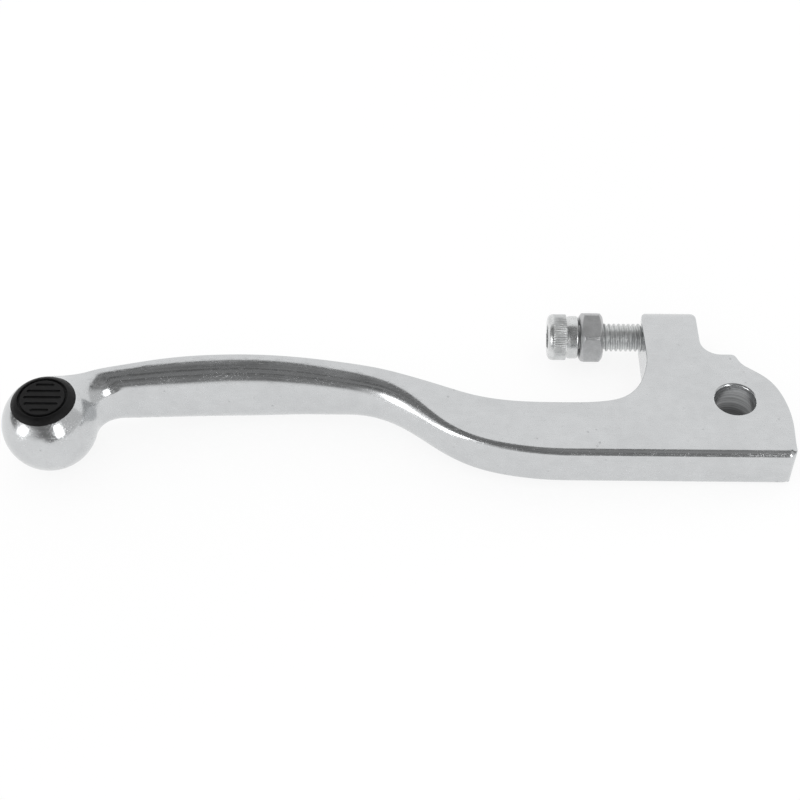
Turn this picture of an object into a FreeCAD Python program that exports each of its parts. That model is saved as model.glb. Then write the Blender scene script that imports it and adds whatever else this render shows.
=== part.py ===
import FreeCAD, Part
import math
import os

# Forged clutch lever with its reach adjuster, in millimetres.
# Origin: centre of the pivot hole, at half the block's thickness.
# +X runs from the ball end to the pivot end, +Y to the adjuster's side, +Z along the pivot pin.

# Pivot block
BLOCK_THICKNESS = 9.0
BLOCK_FRONT_Y = -14.35
BLOCK_END_X = 10.0
BLOCK_EDGE_ROUND = 0.3
FRONT_EDGE_ROUND = 1.5
END_CORNER_ROUND = 1.6
PIVOT_HOLE_R = 4.0
PIVOT_CHAMFER = 0.45

# Adjuster tower, which stands on the block's rear side; its end is rounded about the screw
TOWER_LEFT_X = -16.2
TOWER_RIGHT_X = -5.0
TOWER_TOP_Y = 26.8
TOWER_END_ROUND = 4.4
TOWER_CORNER_ROUND = 3.8
SHELF_Y = 12.5
SHELF_FILLET = 3.9
SHELF_END_X = 1.0
BLADE_REAR_Y = -1.0
BLADE_START_X = -33.0
RUN_ON = 8.0
CUT_MARGIN = 1.0

# Ball end and its plug
BALL_R = 9.4
BALL_X = -135.3
BALL_Y = -3.85
NECK_FILLET = 5.0
PLUG_R = 6.3
PLUG_SEAT_Z = 6.1
PLUG_STEM_R = 2.55
PLUG_STEM_END_Z = 2.0
PLUG_FLAT_Z = 8.05
PLUG_FLAT_R = 4.4
PLUG_GROOVE_WIDTH = 0.55
PLUG_GROOVE_DEPTH = 0.5
PLUG_RIB_WIDTH = 0.7
PLUG_RIB_PITCH = 1.6
PLUG_RIB_DEPTH = 0.3
PLUG_RIB_REACH = 3.7
PLUG_TILT_DEG = 3.0
POCKET_CLEARANCE = 0.05
STEM_HOLE_SPARE = 0.5

# Blade curves, each as (x, value) points that one smooth curve runs through
FRONT_EDGE = [(-133.5, 0.0), (-127, 1.0), (-120, 1.6), (-112, 2.1), (-103, 2.65), (-94, 2.95), (-86, 2.85),
              (-79, 2.4), (-73.5, 1.7), (-69, 0.05), (-64, -3.25), (-58, -7.7), (-52, -10.9), (-45, -13.1),
              (-38, -14.15), (BLADE_START_X, BLOCK_FRONT_Y)]
REAR_EDGE = [(-133.5, 3.6), (-127, 5.3), (-120, 6.5), (-112, 7.65), (-103, 8.3), (-94, 8.45), (-86, 8.4),
             (-79, 8.1), (-73.5, 7.65), (-69, 6.75), (-64, 5.25), (-58, 3.4), (-52, 1.1), (-45, -0.5),
             (-38, -0.95), (BLADE_START_X, BLADE_REAR_Y)]
HEIGHT = [(-133.5, 10.5), (-127, 12.3), (-120, 13.6), (-112, 14.7), (-103, 15.3), (-94, 15.2), (-86, 14.0),
          (-79, 12.5), (-73.5, 11.3), (-69, 10.8), (-64, 10.3), (-58, 9.2), (-52, BLOCK_THICKNESS),
          (BLADE_START_X, BLOCK_THICKNESS)]
FRONT_ROUND = [(-133.5, 2.8), (-127, 3.7), (-120, 4.4), (-112, 5.0), (-103, 5.15), (-94, 5.0), (-86, 4.8),
               (-79, 4.4), (-73.5, 4.3), (-69, 4.5), (-64, 4.7), (-58, 3.0), (-52, 1.7),
               (-45, FRONT_EDGE_ROUND), (BLADE_START_X, FRONT_EDGE_ROUND)]
REAR_EDGE_ROUND = 0.3
BLADE_STATIONS = 30

# Reach adjuster: M6 screw and its lock nut
SCREW_Y = 21.6
THREAD_R = 2.95
THREAD_ROOT_R = 2.4
THREAD_PITCH = 1.0
THREAD_CREST = 0.2
SCREW_BORE_R = 3.0
BORE_CHAMFER = 0.5
HEAD_END_X = -35.5
UNDER_HEAD_X = -29.3
SHANK_LENGTH = 20.0
HEAD_R = 4.8
COLLAR_R = 4.45
COLLAR_LENGTH = 2.45
COLLAR_CHAMFER = 0.3
KNURL_LENGTH = 2.7
KNURL_TEETH = 60
KNURL_DEPTH = 0.2
NECK_GROOVE = 0.6
SOCKET_ACROSS_FLATS = 5.0
SOCKET_DEPTH = 3.0
TIP_CHAMFER = 0.7
TIP_LENGTH = 1.0
NUT_ACROSS_FLATS = 10.0
NUT_HEIGHT = 4.7
NUT_LEFT_X = -28.95
NUT_TURN_DEG = 48.0
NUT_CORNER_R = 5.6
NUT_FACE_R = 4.4
NUT_CHAMFER_DEG = 35.0

X_AXIS = FreeCAD.Vector(1, 0, 0)
Z_AXIS = FreeCAD.Vector(0, 0, 1)
HALF_T = BLOCK_THICKNESS / 2


def v(x, y, z=0.0):
    return FreeCAD.Vector(x, y, z)


def line(a, b):
    return Part.makeLine(a, b)


def corner_arc(centre, radius, start_deg, end_deg):
    """Arc in the XY plane about centre, from one angle to the other."""
    angles = [start_deg, (start_deg + end_deg) / 2, end_deg]
    points = []
    for angle in angles:
        turn = math.radians(angle)
        points.append(centre + v(radius * math.cos(turn), radius * math.sin(turn)))
    return Part.Arc(points[0], points[1], points[2]).toShape()


def spline(points, start_tangent, end_tangent):
    curve = Part.BSplineCurve()
    curve.interpolate(Points=points, InitialTangent=start_tangent, FinalTangent=end_tangent)
    return curve.toShape()


def block_outline():
    """Closed outline of the pivot block and its tower, seen from +Z."""
    left_x = BLADE_START_X - RUN_ON
    top_round = TOWER_CORNER_ROUND
    corner = END_CORNER_ROUND
    nose_start = v(BLOCK_END_X, BLOCK_FRONT_Y + corner)
    nose = [nose_start, v(10.35, -6.0), v(9.6, 0.4), v(7.2, 5.7), v(3.4, 9.1)]
    notch = [nose[-1], v(2.3, 10.5), v(SHELF_END_X + 0.7, 11.9)]
    shelf_lip = v(SHELF_END_X - 0.3, SHELF_Y)
    shelf_start = v(TOWER_RIGHT_X + SHELF_FILLET, SHELF_Y)
    inner_top = v(TOWER_LEFT_X, 12.0)
    inner = [inner_top, v(-16.9, 7.8), v(-18.7, 3.5), v(-21.7, 0.6), v(-26.0, -0.65)]
    inner.append(v(BLADE_START_X, BLADE_REAR_Y))
    edges = [
        line(v(left_x, BLOCK_FRONT_Y), v(BLOCK_END_X - corner, BLOCK_FRONT_Y)),
        corner_arc(v(BLOCK_END_X - corner, BLOCK_FRONT_Y + corner), corner, -90, 0),
        spline(nose, v(0.0, 1.0), v(-0.75, 0.6)),
        spline(notch, v(-0.75, 0.6), v(-0.45, 0.9)),
        Part.Arc(notch[-1], v(SHELF_END_X + 0.35, SHELF_Y - 0.2), shelf_lip).toShape(),
        line(shelf_lip, shelf_start),
        corner_arc(v(shelf_start.x, SHELF_Y + SHELF_FILLET), SHELF_FILLET, 270, 180),
        line(v(TOWER_RIGHT_X, SHELF_Y + SHELF_FILLET), v(TOWER_RIGHT_X, TOWER_TOP_Y - top_round)),
        corner_arc(v(TOWER_RIGHT_X - top_round, TOWER_TOP_Y - top_round), top_round, 0, 90),
        line(v(TOWER_RIGHT_X - top_round, TOWER_TOP_Y), v(TOWER_LEFT_X + top_round, TOWER_TOP_Y)),
        corner_arc(v(TOWER_LEFT_X + top_round, TOWER_TOP_Y - top_round), top_round, 90, 180),
        line(v(TOWER_LEFT_X, TOWER_TOP_Y - top_round), inner_top),
        spline(inner, v(0.0, -1.0), v(-1.0, 0.0)),
        line(inner[-1], v(left_x, BLADE_REAR_Y)),
        line(v(left_x, BLADE_REAR_Y), v(left_x, BLOCK_FRONT_Y)),
    ]
    return Part.Wire(edges)


def section_wire(x, front_y, rear_y, height, front_round, rear_round):
    """Rounded rectangle in the plane at x, with larger corners on its front side."""
    top = height / 2
    diagonal = math.sqrt(0.5)

    def arc(y_centre, z_centre, radius, y_sign, z_sign, along_z_first):
        ends = [
            v(x, y_centre, z_centre + z_sign * radius),
            v(x, y_centre + y_sign * radius, z_centre),
        ]
        if along_z_first:
            ends.reverse()
        middle = v(x, y_centre + y_sign * radius * diagonal, z_centre + z_sign * radius * diagonal)
        return Part.Arc(ends[0], middle, ends[1]).toShape()

    front_c = front_y + front_round
    rear_c = rear_y - rear_round
    z_front = top - front_round
    z_rear = top - rear_round
    edges = [
        line(v(x, front_y, -z_front), v(x, front_y, z_front)),
        arc(front_c, z_front, front_round, -1, 1, True),
        line(v(x, front_c, top), v(x, rear_c, top)),
        arc(rear_c, z_rear, rear_round, 1, 1, False),
        line(v(x, rear_y, z_rear), v(x, rear_y, -z_rear)),
        arc(rear_c, -z_rear, rear_round, 1, -1, True),
        line(v(x, rear_c, -top), v(x, front_c, -top)),
        arc(front_c, -z_front, front_round, -1, -1, False),
    ]
    return Part.Wire(edges)


def smooth_curve(points):
    """Cubic spline through the points: no bend at its first end, level at its last end."""
    xs = [p[0] for p in points]
    ys = [p[1] for p in points]
    last = len(points) - 1
    steps = [xs[i + 1] - xs[i] for i in range(last)]
    rises = [(ys[i + 1] - ys[i]) / steps[i] for i in range(last)]
    diag = [1.0]
    carry = [0.0]
    for i in range(1, last):
        factor = steps[i - 1] / diag[i - 1]
        upper = steps[i - 1] if i > 1 else 0.0
        diag.append(2 * (steps[i - 1] + steps[i]) - factor * upper)
        carry.append(6 * (rises[i] - rises[i - 1]) - factor * carry[i - 1])
    factor = steps[-1] / diag[-1]
    diag.append(2 * steps[-1] - factor * steps[-1])
    carry.append(-6 * rises[-1] - factor * carry[-1])
    bends = [0.0] * (last + 1)
    bends[last] = carry[last] / diag[last]
    for i in range(last - 1, 0, -1):
        bends[i] = (carry[i] - steps[i] * bends[i + 1]) / diag[i]

    def value(x):
        i = 0
        while i < last - 1 and x > xs[i + 1]:
            i += 1
        a = xs[i + 1] - x
        b = x - xs[i]
        h = steps[i]
        curved = (bends[i] * (a**3 / h - a * h) + bends[i + 1] * (b**3 / h - b * h)) / 6
        return curved + (ys[i] * a + ys[i + 1] * b) / h

    return value


def blade():
    front = smooth_curve(FRONT_EDGE)
    rear = smooth_curve(REAR_EDGE)
    height = smooth_curve(HEIGHT)
    rounding = smooth_curve(FRONT_ROUND)
    first_x = FRONT_EDGE[0][0]
    wires = []
    for step in range(BLADE_STATIONS + 1):
        x = first_x + (BLADE_START_X - first_x) * step / BLADE_STATIONS
        wires.append(section_wire(x, front(x), rear(x), height(x), rounding(x), REAR_EDGE_ROUND))
    return Part.makeLoft(wires, True, False)


def is_upright(face):
    """True for a face that runs parallel to Z."""
    first_u, last_u, first_v, last_v = face.ParameterRange
    return abs(face.normalAt((first_u + last_u) / 2, (first_v + last_v) / 2).z) < 1e-6


def outline_edges(shape):
    """Edges between the upright walls and the faces above and below, without the front and the rear crown."""
    front_limit = BLOCK_FRONT_Y + FRONT_EDGE_ROUND
    rear_limit = TOWER_TOP_Y - TOWER_END_ROUND / 10
    found = []
    for edge in shape.Edges:
        faces = shape.ancestorsOfType(edge, Part.Face)
        box = edge.BoundBox
        beside_wall = len(faces) == 2 and is_upright(faces[0]) != is_upright(faces[1])
        between = front_limit < box.YMin < rear_limit and box.XMax > BLADE_START_X - RUN_ON
        if beside_wall and between:
            found.append(edge)
    return found


def block():
    """Pivot block and tower: small rounding all round, larger on the two long front edges."""
    plate = Part.Face(block_outline()).extrude(v(0, 0, BLOCK_THICKNESS))
    plate.translate(v(0, 0, -HALF_T))
    left_x = BLADE_START_X - RUN_ON
    sides = (BLOCK_FRONT_Y, TOWER_TOP_Y, BLOCK_THICKNESS)
    form = section_wire(left_x, *sides, FRONT_EDGE_ROUND, TOWER_END_ROUND)
    length = BLOCK_END_X + CUT_MARGIN - left_x
    plate = plate.common(Part.Face(form).extrude(v(length, 0, 0)))
    plate = plate.makeFillet(BLOCK_EDGE_ROUND, outline_edges(plate))
    depth = TOWER_TOP_Y - BLOCK_FRONT_Y
    run_on = Part.makeBox(RUN_ON, depth, BLOCK_THICKNESS, v(left_x, BLOCK_FRONT_Y, -HALF_T))
    return plate.cut(run_on)


def pivot_hole():
    length = BLOCK_THICKNESS + 2 * CUT_MARGIN
    hole = Part.makeCylinder(PIVOT_HOLE_R, length, v(0, 0, -HALF_T - CUT_MARGIN), Z_AXIS)
    mouth_r = PIVOT_HOLE_R + PIVOT_CHAMFER
    top = Part.makeCone(PIVOT_HOLE_R, mouth_r, PIVOT_CHAMFER, v(0, 0, HALF_T - PIVOT_CHAMFER), Z_AXIS)
    bottom = Part.makeCone(mouth_r, PIVOT_HOLE_R, PIVOT_CHAMFER, v(0, 0, -HALF_T), Z_AXIS)
    return hole.fuse([top, bottom])


def screw_bore():
    """Bore for the adjuster through the tower, with a chamfer at each mouth."""
    length = TOWER_RIGHT_X - TOWER_LEFT_X + 2 * CUT_MARGIN
    hole = Part.makeCylinder(SCREW_BORE_R, length, v(TOWER_LEFT_X - CUT_MARGIN, SCREW_Y, 0), X_AXIS)
    mouth_r = SCREW_BORE_R + BORE_CHAMFER
    left = Part.makeCone(mouth_r, SCREW_BORE_R, BORE_CHAMFER, v(TOWER_LEFT_X, SCREW_Y, 0), X_AXIS)
    right_start = v(TOWER_RIGHT_X - BORE_CHAMFER, SCREW_Y, 0)
    right = Part.makeCone(SCREW_BORE_R, mouth_r, BORE_CHAMFER, right_start, X_AXIS)
    return hole.fuse([left, right])


def plug_pocket():
    """Recess in the ball's top and the deeper hole for the plug's stem."""
    seat = Part.makeCylinder(PLUG_R + POCKET_CLEARANCE, BALL_R, v(BALL_X, BALL_Y, PLUG_SEAT_Z), Z_AXIS)
    stem_floor = PLUG_STEM_END_Z - STEM_HOLE_SPARE
    stem = Part.makeCylinder(PLUG_STEM_R + POCKET_CLEARANCE, BALL_R, v(BALL_X, BALL_Y, stem_floor), Z_AXIS)
    pocket = seat.fuse(stem)
    pocket.rotate(v(BALL_X, BALL_Y, 0), X_AXIS, PLUG_TILT_DEG)
    return pocket


def neck_edges(shape):
    """Edges where the blade runs into the ball: one face beside them is the ball's, the other isn't."""
    found = []
    for edge in shape.Edges:
        if edge.Degenerated:
            continue
        kinds = [type(face.Surface).__name__ for face in shape.ancestorsOfType(edge, Part.Face)]
        if len(kinds) == 2 and kinds.count("Sphere") == 1:
            found.append(edge)
    return found


def lever_body():
    ball = Part.makeSphere(BALL_R, v(BALL_X, BALL_Y, 0), Z_AXIS)
    ball.rotate(v(BALL_X, BALL_Y, 0), Z_AXIS, 180)
    grip = blade().fuse(ball)
    grip = grip.makeFillet(NECK_FILLET, neck_edges(grip))
    body = grip.fuse(block()).removeSplitter()
    return body.cut([pivot_hole(), screw_bore(), plug_pocket()])


def end_plug():
    """Moulded plug: a rim that continues the ball, a groove, and a flat disc with grip grooves."""
    rim_r = PLUG_FLAT_R + PLUG_GROOVE_WIDTH
    rim_top = math.sqrt(BALL_R**2 - rim_r**2)
    rim_low = math.sqrt(BALL_R**2 - PLUG_R**2)
    middle_r = (rim_r + PLUG_R) / 2
    middle_z = math.sqrt(BALL_R**2 - middle_r**2)
    groove_z = PLUG_FLAT_Z - PLUG_GROOVE_DEPTH
    profile = [
        line(v(0, 0, PLUG_STEM_END_Z), v(PLUG_STEM_R, 0, PLUG_STEM_END_Z)),
        line(v(PLUG_STEM_R, 0, PLUG_STEM_END_Z), v(PLUG_STEM_R, 0, PLUG_SEAT_Z)),
        line(v(PLUG_STEM_R, 0, PLUG_SEAT_Z), v(PLUG_R, 0, PLUG_SEAT_Z)),
        line(v(PLUG_R, 0, PLUG_SEAT_Z), v(PLUG_R, 0, rim_low)),
        Part.Arc(v(PLUG_R, 0, rim_low), v(middle_r, 0, middle_z), v(rim_r, 0, rim_top)).toShape(),
        line(v(rim_r, 0, rim_top), v(rim_r, 0, groove_z)),
        line(v(rim_r, 0, groove_z), v(PLUG_FLAT_R, 0, groove_z)),
        line(v(PLUG_FLAT_R, 0, groove_z), v(PLUG_FLAT_R, 0, PLUG_FLAT_Z)),
        line(v(PLUG_FLAT_R, 0, PLUG_FLAT_Z), v(0, 0, PLUG_FLAT_Z)),
        line(v(0, 0, PLUG_FLAT_Z), v(0, 0, PLUG_STEM_END_Z)),
    ]
    plug = Part.Face(Part.Wire(profile)).revolve(v(0, 0, 0), Z_AXIS, 360)
    grooves = []
    for step in (-2, -1, 0, 1, 2):
        y = step * PLUG_RIB_PITCH
        reach = math.sqrt(PLUG_RIB_REACH**2 - y**2)
        corner = v(-reach, y - PLUG_RIB_WIDTH / 2, PLUG_FLAT_Z - PLUG_RIB_DEPTH)
        grooves.append(Part.makeBox(2 * reach, PLUG_RIB_WIDTH, CUT_MARGIN, corner))
    plug = plug.cut(grooves)
    plug.translate(v(BALL_X, BALL_Y, 0))
    plug.rotate(v(BALL_X, BALL_Y, 0), X_AXIS, PLUG_TILT_DEG)
    return plug


def hexagon(across_flats, x, turn_deg):
    """Hexagonal face square to X, with one corner turned from +Z towards -Y."""
    corner_r = across_flats / math.sqrt(3)
    points = []
    for step in range(7):
        turn = math.radians(60 * step + 90 + turn_deg)
        points.append(v(x, SCREW_Y + corner_r * math.cos(turn), corner_r * math.sin(turn)))
    return Part.Face(Part.makePolygon(points))


def knurl():
    """Straight-knurled band: a ring of low pointed ridges."""
    start_x = UNDER_HEAD_X - COLLAR_LENGTH - KNURL_LENGTH
    points = []
    for step in range(2 * KNURL_TEETH + 1):
        radius = HEAD_R - KNURL_DEPTH * (step % 2)
        turn = math.pi * step / KNURL_TEETH
        points.append(v(start_x, SCREW_Y + radius * math.cos(turn), radius * math.sin(turn)))
    return Part.Face(Part.makePolygon(points)).extrude(v(KNURL_LENGTH, 0, 0))


def thread_profile(start_x, end_x):
    """Points along the ridged flank of the thread, as (x, radius) pairs."""
    points = []
    flank = (THREAD_PITCH - 2 * THREAD_CREST) / 2
    count = int((end_x - start_x) / THREAD_PITCH)
    for step in range(count):
        x = start_x + step * THREAD_PITCH
        points.append((x, THREAD_ROOT_R))
        points.append((x + THREAD_CREST, THREAD_ROOT_R))
        points.append((x + THREAD_CREST + flank, THREAD_R))
        points.append((x + 2 * THREAD_CREST + flank, THREAD_R))
    return points


def screw_core():
    """Turned form of the screw: domed end, knurl's seat, smooth collar, ridged shank, chamfered tip."""
    tip_x = UNDER_HEAD_X + SHANK_LENGTH
    thread_end = tip_x - TIP_LENGTH
    collar_x = UNDER_HEAD_X - COLLAR_LENGTH
    knurl_x = collar_x - KNURL_LENGTH
    seat_r = HEAD_R - 2 * KNURL_DEPTH
    dome_r = knurl_x - HEAD_END_X
    flat_r = HEAD_R - dome_r
    mid = dome_r * math.sqrt(0.5)
    outline = [(knurl_x, HEAD_R), (knurl_x, seat_r), (collar_x, seat_r)]
    outline.append((collar_x, COLLAR_R))
    outline.append((UNDER_HEAD_X - COLLAR_CHAMFER, COLLAR_R))
    outline.append((UNDER_HEAD_X, COLLAR_R - COLLAR_CHAMFER))
    outline.append((UNDER_HEAD_X, THREAD_ROOT_R))
    outline += thread_profile(UNDER_HEAD_X + NECK_GROOVE, thread_end)
    outline.append((thread_end, THREAD_ROOT_R))
    outline.append((thread_end, THREAD_R))
    outline.append((tip_x, THREAD_R - TIP_CHAMFER))
    outline.append((tip_x, 0))
    points = [v(x, radius) for x, radius in outline]
    dome = Part.Arc(v(HEAD_END_X, flat_r), v(knurl_x - mid, flat_r + mid), points[0]).toShape()
    edges = [line(v(HEAD_END_X, 0), v(HEAD_END_X, flat_r)), dome]
    for a, b in zip(points, points[1:]):
        edges.append(line(a, b))
    edges.append(line(points[-1], v(HEAD_END_X, 0)))
    core = Part.Face(Part.Wire(edges)).revolve(v(0, 0, 0), X_AXIS, 360)
    core.translate(v(0, SCREW_Y, 0))
    return core


def adjuster_screw():
    """Socket-head screw: its turned core, the knurled band and the hexagon socket."""
    socket = hexagon(SOCKET_ACROSS_FLATS, HEAD_END_X, 0).extrude(v(SOCKET_DEPTH, 0, 0))
    return screw_core().fuse(knurl()).cut(socket)


def lock_nut():
    """Hexagon nut with trimmed corners, chamfered on both faces, and a plain bore that clears the thread."""
    right_x = NUT_LEFT_X + NUT_HEIGHT
    blank = hexagon(NUT_ACROSS_FLATS, NUT_LEFT_X, NUT_TURN_DEG).extrude(v(NUT_HEIGHT, 0, 0))
    drop = (NUT_CORNER_R - NUT_FACE_R) * math.tan(math.radians(NUT_CHAMFER_DEG))
    outline = [
        (NUT_LEFT_X, 0),
        (NUT_LEFT_X, NUT_FACE_R),
        (NUT_LEFT_X + drop, NUT_CORNER_R),
        (right_x - drop, NUT_CORNER_R),
        (right_x, NUT_FACE_R),
        (right_x, 0),
        (NUT_LEFT_X, 0),
    ]
    form = Part.Face(Part.makePolygon([v(x, radius) for x, radius in outline]))
    form = form.revolve(v(0, 0, 0), X_AXIS, 360)
    form.translate(v(0, SCREW_Y, 0))
    length = NUT_HEIGHT + 2 * CUT_MARGIN
    bore = Part.makeCylinder(SCREW_BORE_R, length, v(NUT_LEFT_X - CUT_MARGIN, SCREW_Y, 0), X_AXIS)
    mouth_r = SCREW_BORE_R + BORE_CHAMFER
    left = Part.makeCone(mouth_r, SCREW_BORE_R, BORE_CHAMFER, v(NUT_LEFT_X, SCREW_Y, 0), X_AXIS)
    right_start = v(right_x - BORE_CHAMFER, SCREW_Y, 0)
    right = Part.makeCone(SCREW_BORE_R, mouth_r, BORE_CHAMFER, right_start, X_AXIS)
    return blank.common(form).cut([bore, left, right])


def main():
    os.makedirs("parts", exist_ok=True)
    makers = {
        "lever_body": lever_body,
        "end_plug": end_plug,
        "adjuster_screw": adjuster_screw,
        "lock_nut": lock_nut,
    }
    for name, maker in makers.items():
        shape = maker()
        solids = shape.Solids
        print(name, "valid", shape.isValid(), "solids", len(solids), "volume", round(shape.Volume, 1))
        solids[0].exportStep(os.path.join("parts", name + ".step"))


main()
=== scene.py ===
import math
import bmesh
import bpy
import numpy as np
from mathutils import Matrix, Vector
from mathutils.geometry import delaunay_2d_cdt

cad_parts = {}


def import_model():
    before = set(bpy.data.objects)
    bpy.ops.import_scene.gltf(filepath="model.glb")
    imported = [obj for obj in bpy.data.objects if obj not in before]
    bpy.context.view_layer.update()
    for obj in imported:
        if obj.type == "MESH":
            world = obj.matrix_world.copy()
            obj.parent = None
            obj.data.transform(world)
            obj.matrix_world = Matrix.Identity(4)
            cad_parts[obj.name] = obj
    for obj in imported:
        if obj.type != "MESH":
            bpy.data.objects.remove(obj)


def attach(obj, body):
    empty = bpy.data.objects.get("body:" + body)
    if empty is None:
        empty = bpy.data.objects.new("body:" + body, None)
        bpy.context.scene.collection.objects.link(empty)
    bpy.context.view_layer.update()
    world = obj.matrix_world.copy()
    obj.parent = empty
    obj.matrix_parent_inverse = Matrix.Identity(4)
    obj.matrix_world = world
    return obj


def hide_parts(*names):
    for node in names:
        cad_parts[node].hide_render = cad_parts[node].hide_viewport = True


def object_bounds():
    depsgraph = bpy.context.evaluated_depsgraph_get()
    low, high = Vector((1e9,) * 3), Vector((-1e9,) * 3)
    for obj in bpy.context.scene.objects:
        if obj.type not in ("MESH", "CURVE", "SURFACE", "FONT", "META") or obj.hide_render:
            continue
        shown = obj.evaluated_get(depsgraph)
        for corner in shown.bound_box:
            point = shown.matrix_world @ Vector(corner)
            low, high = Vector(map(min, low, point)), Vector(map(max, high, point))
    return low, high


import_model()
cad_low, cad_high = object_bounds()

MM = 0.001

# ---------------------------------------------------------------- the lever's sizes, in millimetres
# The same driving dimensions as the design: origin at the pivot hole, +X to the pivot end,
# +Y to the adjuster's side, +Z along the pivot pin.

HALF_T = 4.5
BLOCK_FRONT_Y = -14.35
BLOCK_END_X = 10.0
EDGE_ROUND = 0.3
FRONT_EDGE_ROUND = 1.5
END_CORNER_ROUND = 1.6
PIVOT_HOLE_R = 4.0
PIVOT_CHAMFER = 0.45
TOWER_LEFT_X, TOWER_RIGHT_X = -16.2, -5.0
TOWER_TOP_Y = 26.8
TOWER_END_ROUND = 4.4
TOWER_CORNER_ROUND = 3.8
SHELF_Y = 12.5
SHELF_FILLET = 3.9
SHELF_END_X = 1.0
BLADE_REAR_Y = -1.0
BLADE_START_X = -33.0
BALL = np.array([-135.3, -3.85, 0.0])
BALL_R = 9.4
NECK_FILLET = 5.0
FILLET_FIT = 1.17
BLADE_TIP_ROUND = 3.0
BALL_POLE = (-0.82, -0.57, 0.0)
POCKET_R = 6.35
POCKET_FLOOR_Z = 6.1
STEM_HOLE_R = 2.6
STEM_HOLE_FLOOR_Z = 1.5
SCREW_Y = 21.6
SCREW_BORE_R = 3.0
BORE_CHAMFER = 0.5

# End plug, with heights above the lever's middle plane
PLUG_R = 6.3
PLUG_STEM_R = 2.55
PLUG_STEM_END_Z = 2.0
PLUG_FLAT_Z = 8.05
PLUG_FLAT_R = 4.4
PLUG_GROOVE_WIDTH = 0.55
PLUG_GROOVE_DEPTH = 0.6
PLUG_RIM_CROWN = 0.12
GRIP_GROOVES = (-2, -1, 0, 1, 2)
GRIP_PITCH = 1.6
GRIP_WIDTH = 0.7
GRIP_DEPTH = 0.3
GRIP_REACH = 3.7
PLUG_TILT_DEG = 3.0

# Adjuster screw and lock nut
THREAD_R = 2.95
THREAD_ROOT_R = 2.4
THREAD_PITCH = 1.0
THREAD_ROOT_LIFT = 0.06
THREAD_HEIGHT = THREAD_R - THREAD_ROOT_R - 0.1
HEAD_END_X = -35.5
KNURL_START_X = -34.45
KNURL_END_X = -31.75
UNDER_HEAD_X = -29.3
TIP_X = -9.3
HEAD_R = 4.8
COLLAR_R = 4.45
KNURL_TEETH = 60
KNURL_DEPTH = 0.13
KNURL_INSET = 0.02
KNURL_END_DEPTH = 0.05
KNURL_END_INSET = 0.1
SOCKET_ACROSS_FLATS = 5.0
SOCKET_DEPTH = 3.0
TIP_CHAMFER = 0.7
NUT_ACROSS_FLATS = 10.0
NUT_LEFT_X, NUT_RIGHT_X = -28.95, -24.25
NUT_TURN_DEG = 48.0
NUT_CORNER_R = 5.6
NUT_FACE_R = 4.4
NUT_CHAMFER_DEG = 35.0

# Blade curves, each as (x, value) points that one smooth curve runs through
FRONT_EDGE = [(-133.5, 0.0), (-127, 1.0), (-120, 1.6), (-112, 2.1), (-103, 2.65), (-94, 2.95), (-86, 2.85),
              (-79, 2.4), (-73.5, 1.7), (-69, 0.05), (-64, -3.25), (-58, -7.7), (-52, -10.9), (-45, -13.1),
              (-38, -14.15), (BLADE_START_X, BLOCK_FRONT_Y)]
REAR_EDGE = [(-133.5, 3.6), (-127, 5.3), (-120, 6.5), (-112, 7.65), (-103, 8.3), (-94, 8.45), (-86, 8.4),
             (-79, 8.1), (-73.5, 7.65), (-69, 6.75), (-64, 5.25), (-58, 3.4), (-52, 1.1), (-45, -0.5),
             (-38, -0.95), (BLADE_START_X, BLADE_REAR_Y)]
HEIGHT = [(-133.5, 10.5), (-127, 12.3), (-120, 13.6), (-112, 14.7), (-103, 15.3), (-94, 15.2), (-86, 14.0),
          (-79, 12.5), (-73.5, 11.3), (-69, 10.8), (-64, 10.3), (-58, 9.2), (-52, 2 * HALF_T),
          (BLADE_START_X, 2 * HALF_T)]
FRONT_ROUND = [(-133.5, 2.8), (-127, 3.7), (-120, 4.4), (-112, 5.0), (-103, 5.15), (-94, 5.0), (-86, 4.8),
               (-79, 4.4), (-73.5, 4.3), (-69, 4.5), (-64, 4.7), (-58, 3.0), (-52, 1.7),
               (-45, FRONT_EDGE_ROUND), (BLADE_START_X, FRONT_EDGE_ROUND)]

# Mesh density of the lever
WALL_STEPS = 4
ROUND_STEPS = 8
FLAT_STEPS = 14
BLADE_STEP = 0.9
NECK_START_X = -112.0
NECK_STATIONS = 64
CAP_STATIONS = 44
CAST_REACH = 14.0
CAST_HALVINGS = 26
OUTLINE_STEP = 0.45
FLAT_GRID = 1.6
BULLNOSE_STEPS = 14

# Mesh density of the small parts
TOOTH_COLUMNS = 6
SHANK_COLUMNS = 72
THREAD_ROWS = 12


# ---------------------------------------------------------------- curves and mesh helpers

def smooth_curve(points):
    """Cubic spline through (x, value) points: no bend at its first end, level at its last end."""
    xs, ys = np.array(points, float).T
    h, n = np.diff(xs), len(points)
    rise = np.diff(ys) / h
    system, right = np.zeros((n, n)), np.zeros(n)
    system[0, 0] = 1.0
    for i in range(1, n - 1):
        system[i, i - 1:i + 2] = h[i - 1], 2 * (h[i - 1] + h[i]), h[i]
        right[i] = 6 * (rise[i] - rise[i - 1])
    system[-1, -2:] = h[-1], 2 * h[-1]
    right[-1] = -6 * rise[-1]
    bend = np.linalg.solve(system, right)

    def value(x):
        x = np.clip(x, xs[0], xs[-1])
        i = np.clip(np.searchsorted(xs, x) - 1, 0, n - 2)
        a, b, w = xs[i + 1] - x, x - xs[i], h[i]
        curved = (bend[i] * (a**3 / w - a * w) + bend[i + 1] * (b**3 / w - b * w)) / 6
        return curved + (ys[i] * a + ys[i + 1] * b) / w

    return value


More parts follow.
